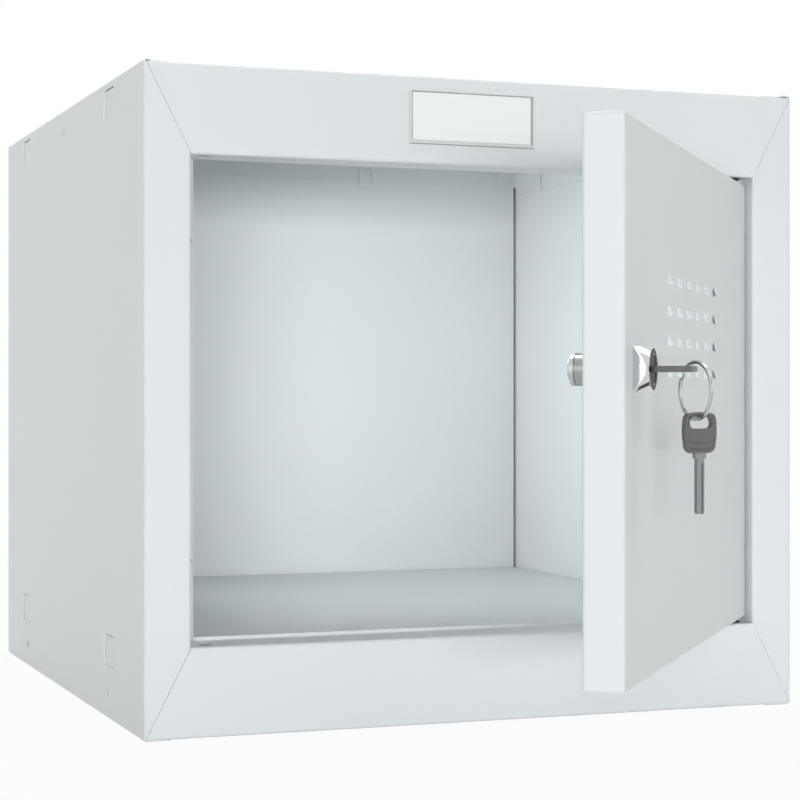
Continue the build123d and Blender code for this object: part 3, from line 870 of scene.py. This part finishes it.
def groove(distance: np.ndarray, width: float) -> np.ndarray:
    """A smooth groove's depth as a share, from the distances to its middle line.

    Args:
        distance: Signed distances in millimetres.
        width: Width of the groove.

    Returns:
        Shares from 0 to 1.
    """
    return np.clip(1 - (distance / width) ** 2, 0, 1)


def arc_through(start: tuple[float, float], middle: tuple[float, float], end: tuple[float, float],
                steps: int) -> list[tuple[float, float]]:
    """Points on the arc through three points.

    Args:
        start: First point.
        middle: Point between them.
        end: Last point.
        steps: Number of parts.

    Returns:
        The points, both ends included.
    """
    (ax, ay), (bx, by), (cx, cy) = start, middle, end
    scale = 2 * (ax * (by - cy) + bx * (cy - ay) + cx * (ay - by))
    ux = ((ax ** 2 + ay ** 2) * (by - cy) + (bx ** 2 + by ** 2) * (cy - ay)
          + (cx ** 2 + cy ** 2) * (ay - by)) / scale
    uy = ((ax ** 2 + ay ** 2) * (cx - bx) + (bx ** 2 + by ** 2) * (ax - cx)
          + (cx ** 2 + cy ** 2) * (bx - ax)) / scale
    radius = math.hypot(ax - ux, ay - uy)
    first = math.atan2(ay - uy, ax - ux)
    last = math.atan2(cy - uy, cx - ux)
    halfway = math.atan2(by - uy, bx - ux)
    turn = (last - first) % (2 * math.pi)
    if (halfway - first) % (2 * math.pi) > turn:
        turn -= 2 * math.pi
    return [(ux + radius * math.cos(first + turn * s / steps),
             uy + radius * math.sin(first + turn * s / steps)) for s in range(steps + 1)]


def round_corners(outline: list[tuple[float, float]], corners: Sequence[tuple[float, float]],
                  radii: Sequence[float]) -> list[tuple[float, float]]:
    """Replaces each named corner of a closed outline by a round tangent to both sides.

    Args:
        outline: Points of the closed outline.
        corners: The corners to round, points of the outline.
        radii: Their radii.

    Returns:
        The rounded outline.
    """
    result: list[tuple[float, float]] = []
    count = len(outline)
    for index, point in enumerate(outline):
        sizes = [r for c, r in zip(corners, radii) if math.dist(c, point) < 1e-6]
        gap = min((math.dist(point, c) - r * 0.9 for c, r in zip(corners, radii)), default=1.0)
        if not sizes:
            if gap > 0:
                result.append(point)
            continue
        here = Vector(point)
        before = (Vector(outline[index - 1]) - here).normalized()
        after = (Vector(outline[(index + 1) % count]) - here).normalized()
        half = before.angle(after) / 2
        reach = sizes[0] / math.tan(half)
        middle = here + (before + after).normalized() * (sizes[0] / math.sin(half))
        start = here + before * reach - middle
        end = here + after * reach - middle
        first = math.atan2(start.y, start.x)
        turn = (math.atan2(end.y, end.x) - first + math.pi) % (2 * math.pi) - math.pi
        result += [(middle.x + sizes[0] * math.cos(first + turn * s / 12),
                    middle.y + sizes[0] * math.sin(first + turn * s / 12)) for s in range(13)]
    return result


def ray_hits(centre: np.ndarray, headings: np.ndarray, outline: np.ndarray) -> np.ndarray:
    """Distances along rays from a centre to a closed outline round it.

    Args:
        centre: Start of the rays.
        headings: Their unit directions.
        outline: Points of the outline.

    Returns:
        One distance for each ray.
    """
    start = outline - centre
    side = np.roll(outline, -1, axis=0) - outline
    cross = headings[:, None, 0] * side[None, :, 1] - headings[:, None, 1] * side[None, :, 0]
    safe = np.where(np.abs(cross) < 1e-12, 1e-12, cross)
    reach = (start[None, :, 0] * side[None, :, 1] - start[None, :, 1] * side[None, :, 0]) / safe
    place = (start[None, :, 0] * headings[:, None, 1] - start[None, :, 1] * headings[:, None, 0]) / safe
    hit = (place >= -1e-6) & (place <= 1 + 1e-6) & (reach > 0)
    return np.where(hit, reach, 0).max(axis=1)


def distance_to_line(points: np.ndarray, outline: np.ndarray) -> np.ndarray:
    """Distances from points to a closed outline.

    Args:
        points: The points.
        outline: Corners of the outline.

    Returns:
        One distance for each point.
    """
    nearest = np.full(len(points), np.inf)
    for start, end in zip(outline, np.roll(outline, -1, axis=0)):
        side = end - start
        share = np.clip(((points - start) @ side) / max(side @ side, 1e-12), 0, 1)
        nearest = np.minimum(nearest, np.linalg.norm(points - start - share[:, None] * side, axis=1))
    return nearest


@dataclass
class SplitRing:
    """Split ring of flattened spring wire: two coils side by side with a short crossing."""

    centre: Vector
    heading: Vector
    radius: float = 12.9
    wire_across: float = 0.9
    wire_deep: float = 1.56
    crossing_share: float = 0.035
    crossing_turn: float = 128.0
    gap_share: float = 2.2
    curve_steps: int = 180
    wire_sides: int = 14

    def coil_nodes(self, tree: Tree, entry: Node) -> Socket:
        """Geometry Nodes for the coil: two turns of an oval wire that step over once.

        Args:
            tree: Tree to build in.
            entry: Its Group Input node.

        Returns:
            The coil's geometry.
        """
        size = entry.outputs
        turns = add_node(tree, "GeometryNodeCurveSpiral",
                         {"Resolution": self.curve_steps, "Rotations": size["Turns"],
                          "Start Radius": size["Radius"], "End Radius": size["Radius"], "Height": 0.0})
        along = add_node(tree, "GeometryNodeSplineParameter").outputs["Factor"]
        step = add_node(tree, "ShaderNodeMapRange",
                        {"Value": along, "From Min": size["Crossing start"],
                         "From Max": size["Crossing end"], "To Min": -0.5, "To Max": 0.5},
                        interpolation_type="SMOOTHSTEP")
        lift = add_node(tree, "ShaderNodeMath", {0: step.outputs["Result"], 1: size["Wire across"]},
                        operation="MULTIPLY")
        shift = add_node(tree, "ShaderNodeCombineXYZ", {"Z": lift.outputs[0]})
        stepped = add_node(tree, "GeometryNodeSetPosition",
                           {"Geometry": turns.outputs["Curve"], "Offset": shift.outputs[0]})
        level = add_node(tree, "GeometryNodeSetCurveNormal", {"Curve": stepped.outputs["Geometry"]})
        wire = add_node(tree, "GeometryNodeCurvePrimitiveCircle",
                        {"Resolution": self.wire_sides, "Radius": 0.5})
        across = add_node(tree, "ShaderNodeCombineXYZ",
                          {"X": size["Wire deep"], "Y": size["Wire across"], "Z": 1.0})
        oval = add_node(tree, "GeometryNodeTransform",
                        {"Geometry": wire.outputs["Curve"], "Scale": across.outputs[0]})
        tube = add_node(tree, "GeometryNodeCurveToMesh",
                        {"Curve": level.outputs["Curve"], "Profile Curve": oval.outputs["Geometry"],
                         "Fill Caps": True})
        return tube.outputs["Mesh"]

    def build(self) -> bpy.types.Object:
        """Builds the ring in place of its CAD node.

        Returns:
            The ring.
        """
        turns = 2 - self.gap_share * self.crossing_share
        form = NodeForm("split_ring", {
            "Radius": self.radius * MM, "Turns": turns, "Wire across": self.wire_across * MM,
            "Wire deep": self.wire_deep * MM, "Crossing start": 0.5 - self.crossing_share / turns / 2,
            "Crossing end": 0.5 + self.crossing_share / turns / 2}, self.coil_nodes, Finish.RING_WIRE)
        turn = math.radians(self.crossing_turn)
        across = self.heading * math.cos(turn) + UP * math.sin(turn)
        normal = self.heading.cross(UP)
        mesh = settle(form.mesh(), Axes(self.centre, across, normal.cross(across), normal))
        piece = finish_piece("split_ring", mesh, Finish.RING_WIRE, "ring", 60.0)
        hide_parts("key_ring")
        return piece


@dataclass
class KeySet:
    """The key in the lock and the spare that hangs on the ring."""

    bow_start: float = 7.8
    ring_centre: Vector = Vector((-8.544381, -448.337020, 188.029067))
    ring_heading: Vector = Vector((0.040132, -0.999194, 0.0))
    spare_origin: Vector = Vector((-6.28204, -447.535883, 159.879067))
    spare_heading: Vector = Vector((0.942641, 0.333807, 0.0))

    def build(self) -> None:
        """Builds both bows and the ring, and dresses the blades."""
        lock_axes = Axes(LOCK_FACE.origin + OUTWARD * self.bow_start, ALONG, OUTWARD, -UP)
        KeyBow("key_bow_moulding", lock_axes, "key", "key_bow").build()
        spare_axes = Axes(self.spare_origin, self.spare_heading, UP, self.spare_heading.cross(UP))
        KeyBow("spare_bow_moulding", spare_axes, "spare_key", "spare_key_bow").build()
        SplitRing(self.ring_centre, self.ring_heading).build()
        dress("key_blade", Finish.KEY_BLADE)
        dress("spare_key_blade", Finish.KEY_BLADE)


class LampPart(Enum):
    """What a lamp does for the picture."""

    KEY = "lights the object and shows in its gloss"
    FILL = "lights the object without a glint of its own"
    GLINT = "shows in the bright metal alone"


@dataclass
class Studio:
    """Camera, pale floor, soft lamps and a white surround."""

    eye: tuple[float, float, float] = (-0.46254, -1.23383, 0.18491)
    heading_degrees: float = -19.564
    focal_px: float = 1985.40
    middle_px: tuple[float, float] = (329.17, 397.56)
    image_px: float = 800.0
    sensor_mm: float = 36.0
    ambient: float = 0.12
    floor_reach: float = 12.0
    fade_start: float = 0.5
    fade_end: float = 1.4
    near_white: float = 0.94

    def camera(self) -> None:
        """Adds the camera at the photograph's place."""
        lens = bpy.data.cameras.new("camera")
        lens.sensor_fit = "HORIZONTAL"
        lens.sensor_width = self.sensor_mm
        lens.lens = self.focal_px * self.sensor_mm / self.image_px
        lens.shift_x = (self.image_px / 2 - self.middle_px[0]) / self.image_px
        lens.shift_y = (self.middle_px[1] - self.image_px / 2) / self.image_px
        lens.clip_end = 50.0
        stand = bpy.data.objects.new("camera", lens)
        stand.location = self.eye
        stand.rotation_euler = (math.radians(90), 0.0, math.radians(self.heading_degrees))
        bpy.context.scene.collection.objects.link(stand)
        bpy.context.scene.camera = stand

    def world(self) -> None:
        """Adds a white surround that lights the object at a plain level."""
        surround = bpy.data.worlds.new("surround")
        bpy.context.scene.world = surround
        surround.use_nodes = True
        tree = surround.node_tree
        tree.nodes.clear()
        path = add_node(tree, "ShaderNodeLightPath")
        seen = add_node(tree, "ShaderNodeMath", {0: path.outputs["Is Camera Ray"],
                                                 1: path.outputs["Is Glossy Ray"]}, operation="MAXIMUM")
        clear = add_node(tree, "ShaderNodeMath", {0: seen.outputs[0],
                                                  1: path.outputs["Is Transmission Ray"]},
                         operation="MAXIMUM")
        strength = add_node(tree, "ShaderNodeMapRange",
                            {"Value": clear.outputs[0], "To Min": self.ambient, "To Max": 1.0})
        glow = add_node(tree, "ShaderNodeBackground",
                        {"Color": (1.0, 1.0, 1.0, 1.0), "Strength": strength.outputs["Result"]})
        add_node(tree, "ShaderNodeOutputWorld", {"Surface": glow.outputs["Background"]})

    def floor(self) -> None:
        """Adds a pale floor that keeps the shadow and fades into the white surround."""
        mesh = bpy.data.meshes.new("floor")
        reach = self.floor_reach
        corners = [(-reach, -reach, 0), (reach, -reach, 0), (reach, reach, 0), (-reach, reach, 0)]
        mesh.from_pydata(corners, [], [(0, 1, 2, 3)])
        material, tree, place = empty_material("pale_floor")
        distance = add_node(tree, "ShaderNodeVectorMath", {0: place}, operation="LENGTH")
        fade = add_node(tree, "ShaderNodeMapRange",
                        {"Value": distance.outputs["Value"], "From Min": self.fade_start,
                         "From Max": self.fade_end, "To Min": self.near_white, "To Max": 1.0},
                        interpolation_type="SMOOTHSTEP")
        path = add_node(tree, "ShaderNodeLightPath")
        seen = add_node(tree, "ShaderNodeMath", {0: path.outputs["Is Camera Ray"],
                                                 1: path.outputs["Is Glossy Ray"]}, operation="MAXIMUM")
        share = add_node(tree, "ShaderNodeMath", {0: seen.outputs[0], 1: fade.outputs["Result"]},
                         operation="MULTIPLY")
        paper = add_node(tree, "ShaderNodeBsdfDiffuse", {"Color": linear("#f4f5f5")})
        white = add_node(tree, "ShaderNodeEmission", {"Color": (1.0, 1.0, 1.0, 1.0), "Strength": 1.0})
        mixed = add_node(tree, "ShaderNodeMixShader",
                         {0: share.outputs[0], 1: paper.outputs["BSDF"], 2: white.outputs["Emission"]})
        add_node(tree, "ShaderNodeOutputMaterial", {"Surface": mixed.outputs["Shader"]})
        mesh.materials.append(material)
        ground = bpy.data.objects.new("floor", mesh)
        bpy.context.scene.collection.objects.link(ground)

    def lamp(self, name: str, place: tuple[float, float, float], aim: tuple[float, float, float],
             power: float, width: float, height: float, part: LampPart = LampPart.KEY,
             spread: float = 180.0) -> None:
        """Adds a soft lamp, a rectangle that stands upright unless it hangs overhead.

        Args:
            name: Name of the lamp.
            place: Where it stands.
            aim: Point that it faces.
            power: Power in watts.
            width: Its level side.
            height: Its other side.
            part: What the lamp does: light everything, fill without a glint, or glint alone.
            spread: Whole angle of its beam in degrees.
        """
        light = bpy.data.lights.new(name, "AREA")
        light.shape = "RECTANGLE"
        light.size = width
        light.size_y = height
        light.energy = power
        light.spread = math.radians(spread)
        stand = bpy.data.objects.new(name, light)
        stand.visible_camera = part is LampPart.KEY
        stand.visible_glossy = part is not LampPart.FILL
        stand.visible_diffuse = part is not LampPart.GLINT
        stand.location = place
        heading = Vector(aim) - Vector(place)
        stand.rotation_euler = heading.to_track_quat("-Z", "Y").to_euler()
        bpy.context.scene.collection.objects.link(stand)

    def build(self) -> None:
        """Sets the camera, surround, floor and lamps."""
        self.camera()
        self.world()
        self.floor()
        middle = (0.0, 0.0, 0.20)
        self.lamp("front_lamp", (-1.05, -3.30, 0.18), middle, 66.0, 1.5, 0.34, LampPart.FILL)
        self.lamp("right_lamp", (1.9, -1.2, 2.6), middle, 15.0, 1.4, 1.4)
        self.lamp("left_lamp", (-2.6, 1.4, 1.0), middle, 19.0, 1.4, 1.4)
        self.lamp("top_lamp", (0.2, 0.5, 3.2), middle, 44.0, 1.8, 1.8)
        self.lamp("rear_lamp", (1.0, 3.0, 1.3), middle, 40.0, 1.6, 1.6, LampPart.FILL)
        self.lamp("front_glint", (-1.693, -2.115, 0.55), (-0.032, -0.439, 0.55), 4.7, 0.6, 1.0,
                  LampPart.GLINT)
        # Stands in the cavity, against its left wall, and lights it as the rest is lit.
        self.lamp("inner_lamp", (-0.184, -0.03, 0.2), (0.2, -0.03, 0.2), 0.34, 0.24, 0.2,
                  LampPart.FILL, 100.0)
        bpy.context.scene.view_settings.view_transform = "Standard"


def main() -> None:
    """Builds the studio and the locker's sub-assemblies in order."""
    logging.basicConfig(level=logging.INFO, format="%(name)s: %(message)s")
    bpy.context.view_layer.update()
    Studio().build()
    Carcass().build()
    LabelHolder().build()
    Door().build()
    LockSet().build()
    KeySet().build()


if __name__ == "__main__":
    main()
